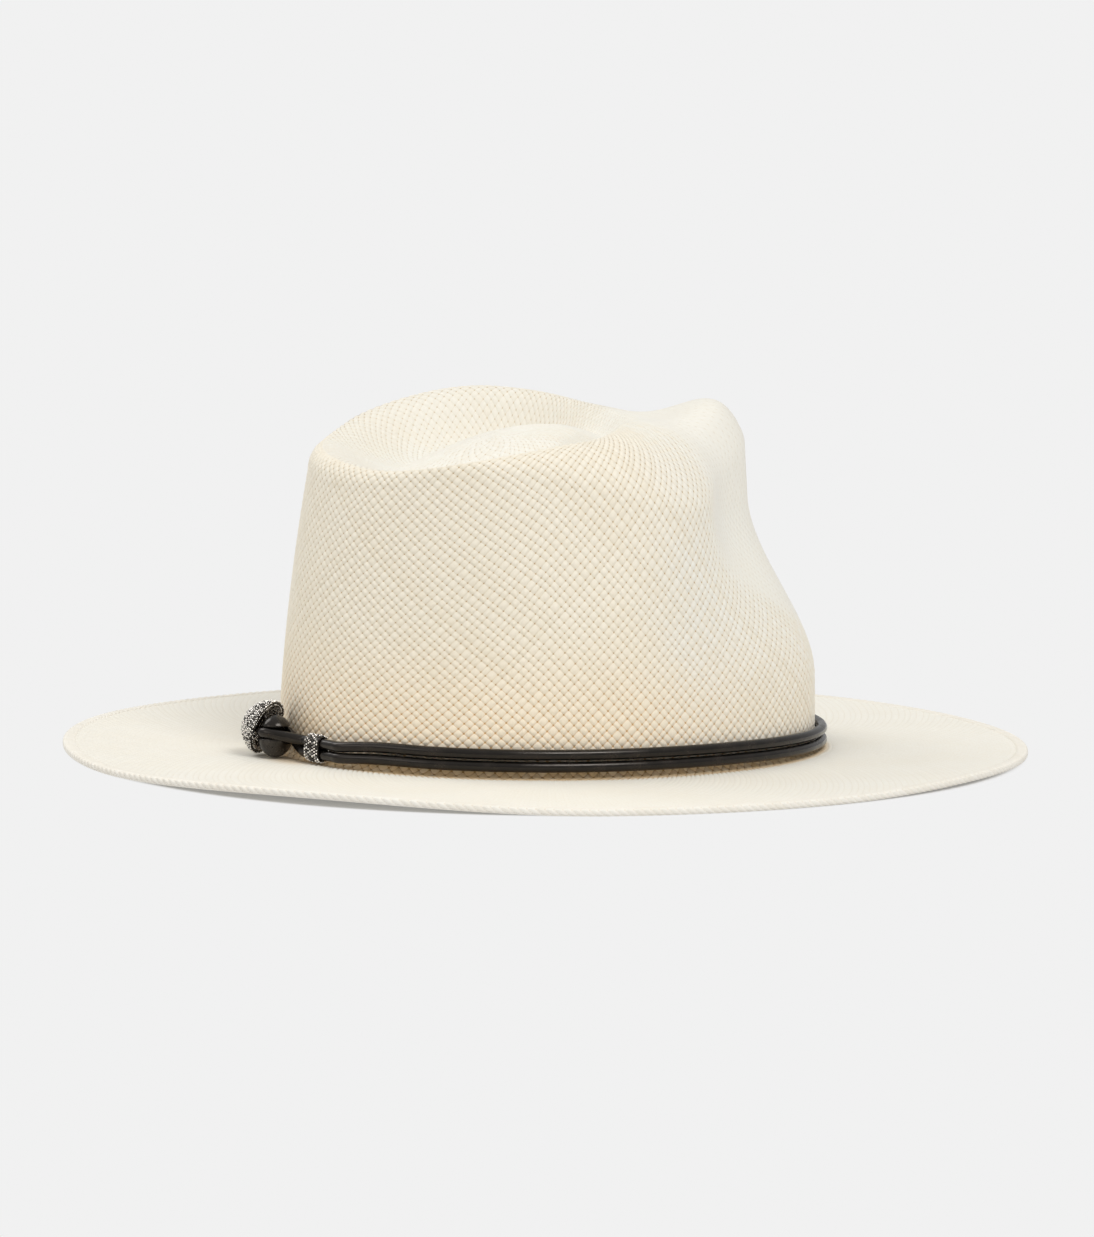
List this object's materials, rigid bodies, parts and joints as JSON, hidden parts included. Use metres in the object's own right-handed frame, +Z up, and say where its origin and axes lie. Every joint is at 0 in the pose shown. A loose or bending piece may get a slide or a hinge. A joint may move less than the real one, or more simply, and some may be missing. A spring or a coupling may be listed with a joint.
{
  "type": "panama hat",
  "caption": "Woven straw hat with a creased teardrop crown, a flat brim and a folded leather cord band closed by a ball and loop with beaded fittings.",
  "frame": {"origin": "under the middle of the brim, on the surface the brim lies on", "axes": "+X to the front of the hat (the narrow end of the teardrop), +Y to the wearer's left, +Z up"},
  "size_m": [0.368, 0.3326, 0.1326],
  "materials": {
    "bleached_straw": "fine plaited straw, matt with a faint sheen",
    "straw_edge": "back-woven straw braid, matt",
    "dark_leather": "smooth waxed leather, satin",
    "silver_beads": "small bright metal beads",
    "sweatband_cotton": "ribbed cotton tape, matt",
    "cotton_thread": "twisted cotton thread"
  },
  "bodies": {
    "hat": {"straw_body": "bleached_straw", "brim_edge": "straw_edge", "sweatband": "sweatband_cotton", "sweatband_stitching": "cotton_thread", "sweatband_joint_tape": "sweatband_cotton", "band_cord": "dark_leather", "toggle_ball": "dark_leather", "toggle_stem": "dark_leather", "bead_cup": "dark_leather", "cup_bead_row_1": "silver_beads", "cup_bead_row_2": "silver_beads", "cup_bead_row_3": "silver_beads", "cup_bead_row_4": "silver_beads", "cup_bead_row_5": "silver_beads", "cup_bead_row_6": "silver_beads", "cup_bead_row_7": "silver_beads"},
    "keeper": {"keeper_sleeve": "dark_leather", "keeper_bead_row_1": "silver_beads", "keeper_bead_row_2": "silver_beads", "keeper_bead_row_3": "silver_beads", "keeper_bead_row_4": "silver_beads", "keeper_bead_row_5": "silver_beads", "keeper_bead_row_6": "silver_beads", "keeper_bead_row_7": "silver_beads"}
  },
  "joints": [
    {"name": "keeper_slide", "type": "slide", "parent": "hat", "child": "keeper", "axis": [-0.4478, 0.8941, 0], "range_m": [-0.006, 0.0015]}
  ]
}
